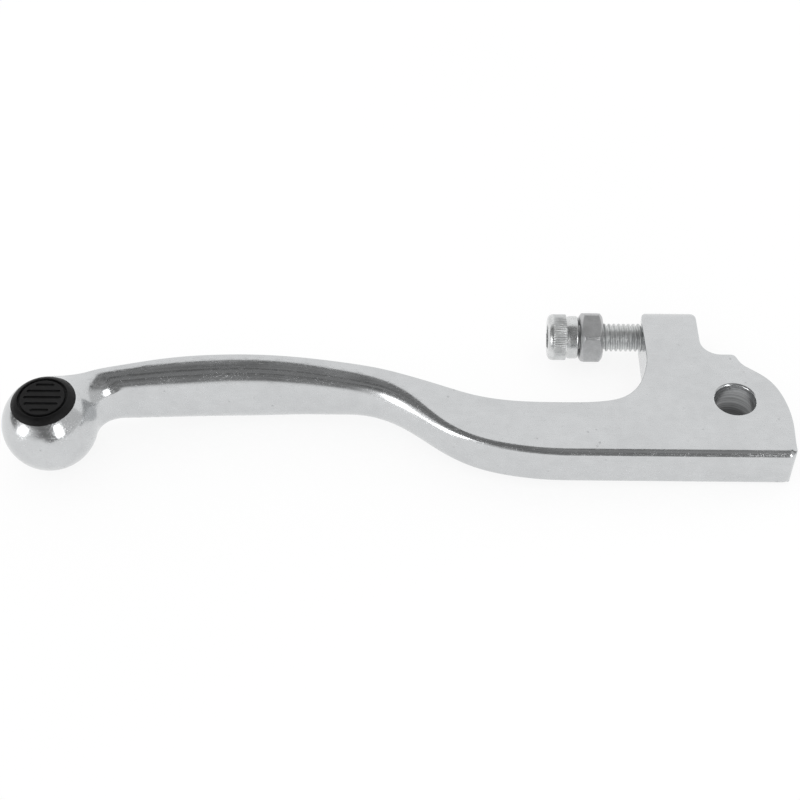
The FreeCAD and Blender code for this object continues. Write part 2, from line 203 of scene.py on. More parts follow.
def path_spline(points, start_tangent, end_tangent, count):
    """Points along a smooth plane curve through the given points, with set directions at both ends."""
    p = np.array(points, float)
    chord = np.linalg.norm(np.diff(p, axis=0), axis=1)
    t, n = np.concatenate([[0], np.cumsum(chord)]), len(p)
    ends = [np.array(e, float) / np.linalg.norm(e) for e in (start_tangent, end_tangent)]
    system, right = np.zeros((n, n)), np.zeros((n, 2))
    system[0, 0] = system[-1, -1] = 1.0
    right[0], right[-1] = ends
    for i in range(1, n - 1):
        a, b = chord[i - 1], chord[i]
        system[i, i - 1:i + 2] = b, 2 * (a + b), a
        right[i] = 3 * (b * (p[i] - p[i - 1]) / a + a * (p[i + 1] - p[i]) / b)
    slope = np.linalg.solve(system, right)
    s = np.linspace(0, t[-1], count)
    i = np.clip(np.searchsorted(t, s) - 1, 0, n - 2)
    w = chord[i][:, None]
    u = ((s - t[i]) / chord[i])[:, None]
    return ((1 + 2 * u) * (1 - u)**2 * p[i] + u * (1 - u)**2 * w * slope[i]
            + u**2 * (3 - 2 * u) * p[i + 1] + u**2 * (u - 1) * w * slope[i + 1])


def arc_points(centre, radius, start_deg, end_deg, count):
    turn = np.radians(np.linspace(start_deg, end_deg, count))
    return np.array(centre) + radius * np.stack([np.cos(turn), np.sin(turn)], 1)


def piece(name, verts, faces, material, body, node=None):
    """Mesh object from millimetre points, riding on a body of the frame; it may stand for a node."""
    mesh = bpy.data.meshes.new(name)
    mesh.from_pydata([tuple(p) for p in np.asarray(verts, float) * MM], [], faces)
    mesh.validate()
    made = bpy.data.objects.new(name, mesh)
    bpy.context.scene.collection.objects.link(made)
    bm = bmesh.new()
    bm.from_mesh(mesh)
    bmesh.ops.remove_doubles(bm, verts=bm.verts, dist=1e-7)
    bmesh.ops.recalc_face_normals(bm, faces=bm.faces)
    bm.to_mesh(mesh)
    bm.free()
    if material:
        mesh.materials.append(material)
    if body:
        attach(made, body)
    if node:
        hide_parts(node)
    return made


def grid_faces(rows, columns, closed, first=0):
    """Quads of a grid of points held row after row; closed joins its last column to its first."""
    faces = []
    for i in range(rows - 1):
        for j in range(columns if closed else columns - 1):
            k = (j + 1) % columns
            a, b = first + i * columns, first + (i + 1) * columns
            faces.append((a + j, a + k, b + k, b + j))
    return faces


def lathe(profile, centre, axis, segments=96):
    """Closed solid turned about axis "X" or "Z" from (along, radius) points, with a disc at each end."""
    verts, rows = [], len(profile)
    for along, radius in profile:
        for j in range(segments):
            turn = 2 * math.pi * j / segments
            u, w = radius * math.cos(turn), radius * math.sin(turn)
            verts.append((along, u, w) if axis == "X" else (u, w, along))
    faces = grid_faces(rows, segments, True)
    faces.append(tuple(range(segments)))
    faces.append(tuple(range((rows - 1) * segments, rows * segments)))
    return np.array(verts) + np.array(centre), faces


def tilted(verts):
    """The plug's own points, given about the ball's middle, turned with the plug and moved into place."""
    turn = Matrix.Rotation(math.radians(PLUG_TILT_DEG), 3, "X")
    return np.array(verts) @ np.array(turn).T + BALL


def soften(made, width, limit_deg):
    """Rounds off the edges that turn by more than the limit."""
    modifier = made.modifiers.new("soft_edges", "BEVEL")
    modifier.width, modifier.segments = width * MM, 2
    modifier.limit_method, modifier.angle_limit = "ANGLE", math.radians(limit_deg)
    modifier.use_clamp_overlap = False
    apply_modifiers(made)


def cut_with(made, verts, faces, operation="DIFFERENCE"):
    """Boolean of the piece with another closed mesh."""
    cutter = piece("cutter", verts, faces, None, None)
    modifier = made.modifiers.new("cut", "BOOLEAN")
    modifier.operation, modifier.solver, modifier.object = operation, "EXACT", cutter
    apply_modifiers(made)
    bpy.data.objects.remove(cutter)


def prism(outline, low, high, axis):
    """Closed prism over a convex outline, along "X" or "Z"."""
    count = len(outline)
    verts = []
    for level in (low, high):
        for a, b in outline:
            verts.append((level, a, b) if axis == "X" else (a, b, level))
    faces = [(i, (i + 1) % count, count + (i + 1) % count, count + i) for i in range(count)]
    faces += [tuple(range(count)), tuple(range(count, 2 * count))]
    return verts, faces


def apply_modifiers(made):
    """Turns the object's modifiers into its own mesh."""
    graph = bpy.context.evaluated_depsgraph_get()
    mesh = bpy.data.meshes.new_from_object(made.evaluated_get(graph))
    made.modifiers.clear()
    made.data = mesh


def finish_normals(made, sharp_deg=30):
    """Smooth shading with creases kept sharp, and normals that follow the larger faces."""
    made.data.shade_smooth()
    made.data.set_sharp_from_angle(angle=math.radians(sharp_deg))
    modifier = made.modifiers.new("normals", "WEIGHTED_NORMAL")
    modifier.keep_sharp = True


# ---------------------------------------------------------------- lever body

front_edge, rear_edge = smooth_curve(FRONT_EDGE), smooth_curve(REAR_EDGE)
height, front_round = smooth_curve(HEIGHT), smooth_curve(FRONT_ROUND)


def blade_section(x):
    """Points round the blade's rounded section at x, from the middle of its front wall over the top."""
    x = float(x)
    front, rear, top = front_edge(x), rear_edge(x), height(x) / 2
    fr, rr = front_round(x), EDGE_ROUND
    half_wall = np.linspace(0, top - fr, WALL_STEPS // 2 + 1)[:-1]
    upper = [(front, z) for z in half_wall]
    upper += [tuple(p) for p in arc_points((front + fr, top - fr), fr, 180, 90, ROUND_STEPS + 1)]
    upper += [(y, top) for y in np.linspace(front + fr, rear - rr, FLAT_STEPS + 1)[1:]]
    upper += [tuple(p) for p in arc_points((rear - rr, top - rr), rr, 90, 0, ROUND_STEPS + 1)[1:]]
    upper += [(rear, z) for z in np.linspace(top - rr, 0, WALL_STEPS // 2 + 1)[1:]]
    upper = np.array(upper)
    lower = upper[1:-1][::-1] * (1, -1)
    return np.vstack([upper, lower])


def blade_field(p):
    """Distance to the blade's skin, negative inside; past its last section it ends in a rounded tip."""
    x, y, z = p[..., 0], p[..., 1], np.abs(p[..., 2])
    top = height(x) / 2
    sides = []
    for across, r in ((front_edge(x) - y, front_round(x)), (y - rear_edge(x), EDGE_ROUND)):
        dy, dz = across + r, z - top + r
        sides.append(np.minimum(np.maximum(dy, dz), 0) + np.hypot(np.maximum(dy, 0), np.maximum(dz, 0)) - r)
    flat = np.maximum(sides[0], sides[1])
    past = np.maximum(FRONT_EDGE[0][0] - x, 0)
    lifted = flat + BLADE_TIP_ROUND
    return np.hypot(np.maximum(lifted, 0), past) + np.minimum(lifted, 0) - BLADE_TIP_ROUND


def ball_field(p):
    return np.linalg.norm(p - BALL, axis=-1) - BALL_R


def slope_of(field, p, step=0.02):
    """Unit vector square to the field's skin."""
    parts = []
    for axis in np.eye(3) * step:
        parts.append(field(p + axis) - field(p - axis))
    slope = np.stack(parts, -1)
    return slope / np.maximum(np.linalg.norm(slope, axis=-1, keepdims=True), 1e-9)


def grip_field(p):
    """Blade and ball in one skin, with a fillet between them as wide as their angle asks for."""
    blade, ball = blade_field(p), ball_field(p)
    facing = np.sum(slope_of(blade_field, p) * slope_of(ball_field, p), axis=-1)
    width = NECK_FILLET * FILLET_FIT * np.clip(1 - facing, 0.02, 1.3)
    h = np.maximum(width - np.abs(blade - ball), 0) / width
    return np.minimum(blade, ball) - h * h * width / 4


def cast(origins, directions):
    """Where rays from points inside leave the grip's skin."""
    near, far = np.zeros(len(directions)), np.full(len(directions), CAST_REACH)
    for _ in range(CAST_HALVINGS):
        middle = (near + far) / 2
        inside = grip_field(origins + directions * middle[:, None]) < 0
        near, far = np.where(inside, middle, near), np.where(inside, far, middle)
    return origins + directions * near[:, None]


def grip_rings():
    """Rings of points from the block's end of the blade to the ball's far side."""
    rings = []
    count = int((BLADE_START_X - NECK_START_X) / BLADE_STEP)
    for x in np.linspace(BLADE_START_X, NECK_START_X, count + 1):
        section = blade_section(x)
        rings.append(np.column_stack([np.full(len(section), x), section]))
    start = np.array([NECK_START_X, (front_edge(NECK_START_X) + rear_edge(NECK_START_X)) / 2, 0])
    slope = (front_edge(NECK_START_X) - front_edge(NECK_START_X - 1) + rear_edge(NECK_START_X)
             - rear_edge(NECK_START_X - 1)) / 2
    end_heading = np.array(BALL_POLE)
    end_heading /= np.linalg.norm(end_heading)
    span = np.linalg.norm(BALL - start)
    offsets = rings[-1] - start
    section_angle = np.unwrap(np.arctan2(offsets[:, 2], -offsets[:, 1]))
    even_angle = section_angle[0] + np.linspace(0, 2 * math.pi, len(section_angle), endpoint=False)
    origins, rays = [], []
    for step in range(1, NECK_STATIONS + 1):
        t = step / NECK_STATIONS
        ease = t * t * (3 - 2 * t)
        head = np.array([-1.0, -slope, 0]) * span
        origin = ((1 + 2 * t) * (1 - t)**2 * start + t * (1 - t)**2 * head
                  + t * t * (3 - 2 * t) * BALL + t * t * (t - 1) * end_heading * span)
        heading = (1 - ease) * np.array([-1.0, 0, 0]) + ease * end_heading
        heading /= np.linalg.norm(heading)
        side = np.array([-heading[1], heading[0], 0])
        angle = (1 - ease) * section_angle + ease * even_angle
        directions = np.cos(angle)[:, None] * side + np.sin(angle)[:, None] * np.array([0, 0, 1.0])
        origins.append(np.tile(origin, (len(angle), 1)))
        rays.append(directions)
    for step in range(1, CAP_STATIONS):
        tilt = math.pi / 2 * step / CAP_STATIONS
        origins.append(np.tile(BALL, (len(angle), 1)))
        rays.append(directions * math.cos(tilt) + end_heading * math.sin(tilt))
    skin = cast(np.vstack(origins), np.vstack(rays))
    rings += list(skin.reshape(-1, len(angle), 3))
    return rings, BALL + end_heading * BALL_R


def block_outline():
    """The block's outline from the front end of the seam, round the nose and tower, to its rear end."""
    corner, left, right = END_CORNER_ROUND, TOWER_LEFT_X, TOWER_RIGHT_X
    top_round, shelf_x = TOWER_CORNER_ROUND, TOWER_RIGHT_X + SHELF_FILLET
    corner_centre = (BLOCK_END_X - corner, BLOCK_FRONT_Y + corner)
    nose = [(BLOCK_END_X, corner_centre[1]), (10.35, -6.0), (9.6, 0.4), (7.2, 5.7), (3.4, 9.1)]
    notch = [nose[-1], (2.3, 10.5), (SHELF_END_X + 0.7, 11.9)]
    lip = [notch[-1], (SHELF_END_X + 0.35, SHELF_Y - 0.2), (SHELF_END_X - 0.3, SHELF_Y)]
    inner = [(left, 12.0), (-16.9, 7.8), (-18.7, 3.5), (-21.7, 0.6), (-26.0, -0.65),
             (BLADE_START_X, BLADE_REAR_Y)]
    runs = [
        np.array([(BLADE_START_X, BLOCK_FRONT_Y), (corner_centre[0], BLOCK_FRONT_Y)]),
        arc_points(corner_centre, corner, -90, 0, 12),
        path_spline(nose, (0, 1), (-0.75, 0.6), 60),
        path_spline(notch, (-0.75, 0.6), (-0.45, 0.9), 12),
        path_spline(lip, (-0.45, 0.9), (-1, 0), 6),
        np.array([lip[-1], (shelf_x, SHELF_Y)]),
        arc_points((shelf_x, SHELF_Y + SHELF_FILLET), SHELF_FILLET, 270, 180, 24),
        np.array([(right, SHELF_Y + SHELF_FILLET), (right, TOWER_TOP_Y - top_round)]),
        arc_points((right - top_round, TOWER_TOP_Y - top_round), top_round, 0, 90, 24),
        np.array([(right - top_round, TOWER_TOP_Y), (left + top_round, TOWER_TOP_Y)]),
        arc_points((left + top_round, TOWER_TOP_Y - top_round), top_round, 90, 180, 24),
        np.array([(left, TOWER_TOP_Y - top_round), inner[0]]),
        path_spline(inner, (0, -1), (-1, 0), 70),
    ]
    points = []
    for run in runs:
        if len(run) == 2:
            length = np.linalg.norm(run[1] - run[0])
            run = run[0] + (run[1] - run[0]) * np.linspace(0, 1, max(2, int(length / OUTLINE_STEP)))[:, None]
        points += list(run if not points else run[1:])
    return np.array(points)


def block_height(y):
    """Half thickness of the block; the tower's end is a bullnose along the screw."""
    past = np.clip(y - (TOWER_TOP_Y - TOWER_END_ROUND), 0, TOWER_END_ROUND)
    return HALF_T - TOWER_END_ROUND + np.sqrt(TOWER_END_ROUND**2 - past**2)


def outline_normals(points):
    steps = np.diff(points, axis=0)
    steps /= np.linalg.norm(steps, axis=1)[:, None]
    along = np.vstack([steps[:1], steps[1:] + steps[:-1], steps[-1:]])
    along /= np.linalg.norm(along, axis=1)[:, None]
    return np.stack([along[:, 1], -along[:, 0]], 1)


def inside_polygon(points, polygon):
    """Which points lie inside the closed polygon."""
    inside = np.zeros(len(points), bool)
    x, y = points.T
    for (x1, y1), (x2, y2) in zip(polygon, np.roll(polygon, -1, axis=0)):
        if y1 != y2:
            crosses = ((y1 > y) != (y2 > y)) & (x < (x2 - x1) * (y - y1) / (y2 - y1) + x1)
            inside ^= crosses
    return inside


def fill_flat(boundary):
    """Triangles over the block's flat side: boundary, an even grid inside, and rows along the bullnose."""
    bullnose_y = TOWER_TOP_Y - TOWER_END_ROUND
    turns = np.linspace(0, math.pi / 2, BULLNOSE_STEPS + 1)[:-1]
    rows = [y for y in np.arange(BLOCK_FRONT_Y, bullnose_y - FLAT_GRID / 2, FLAT_GRID)]
    rows += [bullnose_y + TOWER_END_ROUND * math.sin(turn) for turn in turns]
    columns = np.arange(BLADE_START_X, BLOCK_END_X + 1, FLAT_GRID)
    shift = FLAT_GRID / 2
    inner = np.array([(x + shift * (k % 2), y) for k, y in enumerate(rows) for x in columns])
    inner = inner[inside_polygon(inner, boundary)]
    gap = np.min(np.linalg.norm(inner[:, None] - boundary[None], axis=2), axis=1)
    inner = inner[gap > OUTLINE_STEP * 0.7]
    points = np.vstack([boundary, inner])
    edges = [(i, (i + 1) % len(boundary)) for i in range(len(boundary))]
    made = delaunay_2d_cdt([Vector(p) for p in points], edges, [list(range(len(boundary)))], 1, 1e-6)
    return np.array([tuple(p) for p in made[0]]), [tuple(f) for f in made[2]]


def lever_skin():
    """Closed outer skin of the lever: grip, ball, block and tower, before its holes."""
    rings, pole = grip_rings()
    columns = len(rings[0])
    verts = [p for ring in rings for p in ring] + [pole]
    faces = grid_faces(len(rings), columns, True)
    last = (len(rings) - 1) * columns
    faces += [(last + j, last + (j + 1) % columns, len(verts) - 1) for j in range(columns)]

    outline = block_outline()
    normals = outline_normals(outline)
    heights = block_height(outline[:, 1])
    on_front = outline[:, 1] < BLOCK_FRONT_Y + END_CORNER_ROUND
    front_share = np.clip((-normals[:, 1] - 0.5) * 4, 0, 1) * on_front
    radius = EDGE_ROUND + (FRONT_EDGE_ROUND - EDGE_ROUND) * front_share
    radius = np.minimum(radius, heights * 0.9)
    levels = []
    for share in np.linspace(0, 1, WALL_STEPS // 2 + 1)[:-1]:
        levels.append(np.column_stack([outline, share * (heights - radius)]))
    for turn in np.linspace(0, math.pi / 2, ROUND_STEPS + 1):
        inward = outline - normals * (radius * (1 - math.cos(turn)))[:, None]
        drop = radius * (1 - math.sin(turn))
        levels.append(np.column_stack([inward, block_height(inward[:, 1]) - drop]))
    rows = [level * (1, 1, -1) for level in levels[:0:-1]] + levels
    first = len(verts)
    verts += [p for row in rows for p in row]
    faces += grid_faces(len(rows), len(outline), False, first)

    flat_start = WALL_STEPS // 2 + ROUND_STEPS
    seam = rings[0][flat_start:flat_start + FLAT_STEPS + 1, :2]
    boundary = np.vstack([levels[-1][:, :2], seam[-2:0:-1]])
    flat, triangles = fill_flat(boundary)
    for side in (1, -1):
        first = len(verts)
        verts += [(x, y, side * block_height(y)) for x, y in flat]
        faces += [tuple(first + i for i in t[::side]) for t in triangles]
    return verts, faces


def bore(mouth_low, mouth_high, radius, chamfer):
    """Profile of a through hole with a chamfer at each mouth; it reaches one millimetre past both."""
    return [(mouth_low - 1, radius + chamfer + 1), (mouth_low + chamfer, radius),
            (mouth_high - chamfer, radius), (mouth_high + 1, radius + chamfer + 1)]


def rounded_bore(mouth_low, mouth_high, radius, chamfer):
    """Like bore, with each chamfer's edges worn round."""
    turns = np.linspace(0, math.pi / 2, 7)
    arc = [(chamfer * math.sin(t), radius + chamfer * (1 - math.cos(t))) for t in turns]
    high = [(mouth_high - chamfer + along, r) for along, r in arc]
    low = [(mouth_low + chamfer - along, r) for along, r in arc[::-1]]
    wide = radius + chamfer
    return [(mouth_low - 1, wide)] + low + high + [(mouth_high + 1, wide)]


def lever_body(material):
    body = piece("lever_body_skin", *lever_skin(), material, None)
    pocket = [(STEM_HOLE_FLOOR_Z, STEM_HOLE_R), (POCKET_FLOOR_Z, STEM_HOLE_R), (POCKET_FLOOR_Z, POCKET_R),
              (BALL_R + 1, POCKET_R)]
    pocket_verts, pocket_faces = lathe(pocket, (0, 0, 0), "Z")
    cuts = [
        lathe(rounded_bore(-HALF_T, HALF_T, PIVOT_HOLE_R, PIVOT_CHAMFER), (0, 0, 0), "Z", 128),
        lathe(bore(TOWER_LEFT_X, TOWER_RIGHT_X, SCREW_BORE_R, BORE_CHAMFER), (0, SCREW_Y, 0), "X"),
        (tilted(pocket_verts), pocket_faces),
    ]
    for verts, faces in cuts:
        cut_with(body, verts, faces)
    finish_normals(body)
    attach(body, "lever")
    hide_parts("lever_body")


# ---------------------------------------------------------------- end plug

def end_plug(material):
    """Moulded plug: a crowned rim that continues the ball, a ring groove, and a flat disc with grooves."""
    rim_r = PLUG_FLAT_R + PLUG_GROOVE_WIDTH
    groove_z = PLUG_FLAT_Z - PLUG_GROOVE_DEPTH
    profile = [(PLUG_STEM_END_Z, PLUG_STEM_R - 0.2), (PLUG_STEM_END_Z + 0.2, PLUG_STEM_R),
               (POCKET_FLOOR_Z, PLUG_STEM_R), (POCKET_FLOOR_Z, PLUG_R - 0.1), (POCKET_FLOOR_Z + 0.1, PLUG_R)]
    for share in np.linspace(0, 1, 12):
        radius = PLUG_R + (rim_r - PLUG_R) * share
        crown = PLUG_RIM_CROWN * math.sin(math.pi * share)
        profile.append((math.sqrt(BALL_R**2 - radius**2) + crown, radius))
    profile += [(profile[-1][0] - 0.06, rim_r - 0.05), (groove_z, rim_r - 0.08),
                (groove_z, PLUG_FLAT_R + 0.04)]
    profile += [(PLUG_FLAT_Z + dz, PLUG_FLAT_R + dr) for dz, dr in ((-0.16, 0), (-0.05, -0.05), (0, -0.16))]
    verts, faces = lathe(profile, (0, 0, 0), "Z", 128)
    plug = piece("end_plug_moulded", tilted(verts), faces, material, None)
    for step in GRIP_GROOVES:
        middle = step * GRIP_PITCH
        half = math.sqrt(GRIP_REACH**2 - middle**2) - GRIP_WIDTH / 2
        ends = [arc_points((half, middle), GRIP_WIDTH / 2, -90, 90, 9),
                arc_points((-half, middle), GRIP_WIDTH / 2, 90, 270, 9)]
        verts, faces = prism(np.vstack(ends), PLUG_FLAT_Z - GRIP_DEPTH, PLUG_FLAT_Z + 1, "Z")
        cut_with(plug, tilted(verts), faces)
    soften(plug, 0.06, 50)
    finish_normals(plug, 40)
    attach(plug, "lever")
    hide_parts("end_plug")


# ---------------------------------------------------------------- adjuster screw and lock nut

def hexagon_radius(turn, across_flats):
    """Distance from the middle to a hexagon's side, for a hexagon with a corner at 90 degrees."""
    sector = math.pi / 3
    from_side = (turn - math.pi / 2) % sector - sector / 2
    return across_flats / 2 / np.cos(from_side)


def head_rings():
    """Rings of the head, as (x, radii): socket, dome, knurl, neck and collar, down to its underside."""
    columns = KNURL_TEETH * TOOTH_COLUMNS
    turn = 2 * math.pi * np.arange(columns) / columns
    even = np.ones(columns)
    socket = hexagon_radius(turn, SOCKET_ACROSS_FLATS)
    groove = 0.5 - 0.5 * np.cos(turn * KNURL_TEETH)
    dome = KNURL_START_X - HEAD_END_X
    floor_x = HEAD_END_X + SOCKET_DEPTH
    rings = [(floor_x + 0.5, 0.3 * even), (floor_x, 2.2 * even), (floor_x, socket - 0.04),
             (floor_x - 0.06, socket), (HEAD_END_X + 0.12, socket), (HEAD_END_X, socket + 0.12),
             (HEAD_END_X, (HEAD_R - dome) * even)]
    for tilt in np.radians(np.linspace(9, 81, 9)):
        x = KNURL_START_X - dome * math.cos(tilt)
        rings.append((x, (HEAD_R - dome + dome * math.sin(tilt)) * even))
    for share, x in ((0.2, KNURL_START_X), (0.6, KNURL_START_X + 0.15), (1, KNURL_START_X + 0.4),
                     (1, (KNURL_START_X + KNURL_END_X) / 2), (1, KNURL_END_X - 0.12)):
        rings.append((x, HEAD_R - KNURL_INSET - KNURL_DEPTH * share * groove))
    rings.append((KNURL_END_X, HEAD_R - KNURL_END_INSET - KNURL_END_DEPTH * groove))
    neck = [(0, 4.24), (0.15, 4.25), (0.4, 4.33), (0.65, 4.41), (0.9, COLLAR_R), (1.0, COLLAR_R)]
    collar = [(-0.45, COLLAR_R), (-0.3, COLLAR_R), (-0.12, COLLAR_R - 0.1), (-0.02, COLLAR_R - 0.25),
              (0, COLLAR_R - 0.35), (0, 2.9)]
    rows = [(KNURL_END_X + dx, r) for dx, r in neck] + [(UNDER_HEAD_X + dx, r) for dx, r in collar]
    for x, radius in rows:
        rings.append((x, radius * even))
    return turn, rings


def thread_radius(x, turn):
    """Radius of the helical thread, which fades out under the head and at the chamfered tip."""
    phase = ((x - UNDER_HEAD_X) / THREAD_PITCH - turn / (2 * math.pi)) % 1.0
    flank = np.clip((0.8 - np.abs(2 * phase - 1)) / 0.6, 0, 1)
    fade = min(max((x - UNDER_HEAD_X - 0.5) / 0.6, 0), 1)
    radius = THREAD_ROOT_R + THREAD_ROOT_LIFT + THREAD_HEIGHT * flank * flank * (3 - 2 * flank) * fade
    return np.minimum(radius, THREAD_R - TIP_CHAMFER * max(x - (TIP_X - 1.0), 0))


def adjuster_screw(material):
    """Screw with its domed and knurled head, smooth collar, hexagon socket and helical thread."""
    turn, head = head_rings()
    shank_turn = 2 * math.pi * np.arange(SHANK_COLUMNS) / SHANK_COLUMNS
    shank = [(UNDER_HEAD_X, THREAD_ROOT_R + 0.15), (UNDER_HEAD_X + 0.15, THREAD_ROOT_R)]
    shank = [(x, radius * np.ones(SHANK_COLUMNS)) for x, radius in shank]
    count = int((TIP_X - UNDER_HEAD_X - 0.5) / THREAD_PITCH * THREAD_ROWS)
    for x in np.linspace(UNDER_HEAD_X + 0.5, TIP_X, count + 1):
        shank.append((x, thread_radius(x, shank_turn)))
    verts = [(head[0][0] + 0.1, SCREW_Y, 0)]
    for angles, rings in ((turn, head), (shank_turn, shank)):
        for x, radii in rings:
            verts += [(x, SCREW_Y + r * math.cos(a), r * math.sin(a)) for a, r in zip(angles, radii)]
    verts.append((TIP_X, SCREW_Y, 0))
    columns = len(turn)
    faces = [(0, 1 + (j + 1) % columns, 1 + j) for j in range(columns)]
    faces += grid_faces(len(head), columns, True, 1)
    outer = 1 + (len(head) - 1) * columns
    inner = outer + columns
    step = columns // SHANK_COLUMNS
    for k in range(SHANK_COLUMNS):
        after = (k + 1) % SHANK_COLUMNS
        along_head = tuple(outer + (k * step + i) % columns for i in range(step + 1))
        faces.append(along_head + (inner + after, inner + k))
    faces += grid_faces(len(shank), SHANK_COLUMNS, True, inner)
    last = inner + (len(shank) - 1) * SHANK_COLUMNS
    faces += [(last + j, last + (j + 1) % SHANK_COLUMNS, len(verts) - 1) for j in range(SHANK_COLUMNS)]
    screw = piece("adjuster_screw_threaded", verts, faces, material, "screw", "adjuster_screw")
    finish_normals(screw, 40)


def lock_nut(material):
    """Chamfered hexagon nut with softened edges and a countersunk bore."""
    corner_r = NUT_ACROSS_FLATS / math.sqrt(3)
    corners = arc_points((SCREW_Y, 0), corner_r, 90 + NUT_TURN_DEG, 390 + NUT_TURN_DEG, 6)
    nut = piece("lock_nut_hexagon", *prism(corners, NUT_LEFT_X - 1, NUT_RIGHT_X + 1, "X"), material, None)
    drop = (NUT_CORNER_R - NUT_FACE_R) * math.tan(math.radians(NUT_CHAMFER_DEG))
    form = [(NUT_LEFT_X, NUT_FACE_R), (NUT_LEFT_X + drop, NUT_CORNER_R), (NUT_RIGHT_X - drop, NUT_CORNER_R),
            (NUT_RIGHT_X, NUT_FACE_R)]
    cut_with(nut, *lathe(form, (0, SCREW_Y, 0), "X", 160), "INTERSECT")
    cut_with(nut, *lathe(bore(NUT_LEFT_X, NUT_RIGHT_X, SCREW_BORE_R, BORE_CHAMFER), (0, SCREW_Y, 0), "X"))
    soften(nut, 0.09, 20)
    finish_normals(nut, 35)
    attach(nut, "nut")
    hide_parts("lock_nut")


# ---------------------------------------------------------------- materials

class Graph:
    """Adds nodes to one material or world and links them."""

    def __init__(self, owner):
        owner.use_nodes = True
        self.tree = owner.node_tree
        self.tree.nodes.clear()

    def add(self, kind, inputs=None, **settings):
        node = self.tree.nodes.new(kind)
        for key, value in settings.items():
            setattr(node, key, value)
        for key, value in (inputs or {}).items():
            if isinstance(value, bpy.types.NodeSocket):
                self.tree.links.new(value, node.inputs[key])
            else:
                node.inputs[key].default_value = value
        return node

    def math(self, operation, a, b=0.0, clamp=False):
        return self.add("ShaderNodeMath", {0: a, 1: b}, operation=operation, use_clamp=clamp).outputs[0]

    def mix(self, share, a, b):
        return self.add("ShaderNodeMix", {0: share, 2: a, 3: b}, data_type="FLOAT").outputs[0]

    def noise(self, place, stretch, scale, detail):
        """Noise over the place scaled along each axis first."""
        scaled = self.add("ShaderNodeVectorMath", {0: place, 1: stretch}, operation="MULTIPLY").outputs[0]
        inputs = {"Vector": scaled, "Scale": scale, "Detail": detail}
        return self.add("ShaderNodeTexNoise", inputs).outputs["Fac"]

    def tint(self, tone, base):
        """The base colour times the tone."""
        channels = {i: self.math("MULTIPLY", tone, share) for i, share in enumerate(base)}
        return self.add("ShaderNodeCombineColor", channels).outputs[0]

    def weighted(self, *pairs):
        """Sum of each value times its weight."""
        terms = [self.math("MULTIPLY", value, weight) for value, weight in pairs]
        return self.total(*terms)

    def total(self, first, *others):
        """Sum of all the values."""
        for value in others:
            first = self.math("ADD", first, value)
        return first

    def between(self, value, start, full_start, full_end, end):
        """Zero outside start to end, one between the two full values, smooth in between."""
        return self.math("MULTIPLY", self.ramp(value, start, full_start), self.ramp(value, end, full_end))

    def ramp(self, value, low, high, out_low=0.0, out_high=1.0):
        inputs = {"Value": value, "From Min": low, "From Max": high, "To Min": out_low, "To Max": out_high}
        return self.add("ShaderNodeMapRange", inputs, interpolation_type="SMOOTHSTEP").outputs["Result"]


# Studio, seen from the lever: azimuths and heights in degrees. Four values are where a light starts,
# is full, is still full and ends. A level of 1 is the white of the room.
ROOM_LEVELS = (0.12, 0.30)
GLOW_AZIMUTH, GLOW_TOP, GLOW_LEVEL = (-84, -66, -42, 0), (38, 22), 0.86
CARD_AZIMUTH, CARD_TOP, CARD_LEVEL = (-62, -50, -4, 6), (13, 7), 0.9
LEFT_BOX_AZIMUTH, LEFT_BOX_HEIGHT = (-67, -61, -49, -43), (2, 7, 20, 27)
LEFT_BOX_MIDDLE, LEFT_BOX_LEAN = 12.0, 0.4
RIGHT_BOX_AZIMUTH, RIGHT_BOX_HEIGHT = (26, 31, 43, 49), (4, 10, 33, 40)
BOX_LEVEL = 5.0


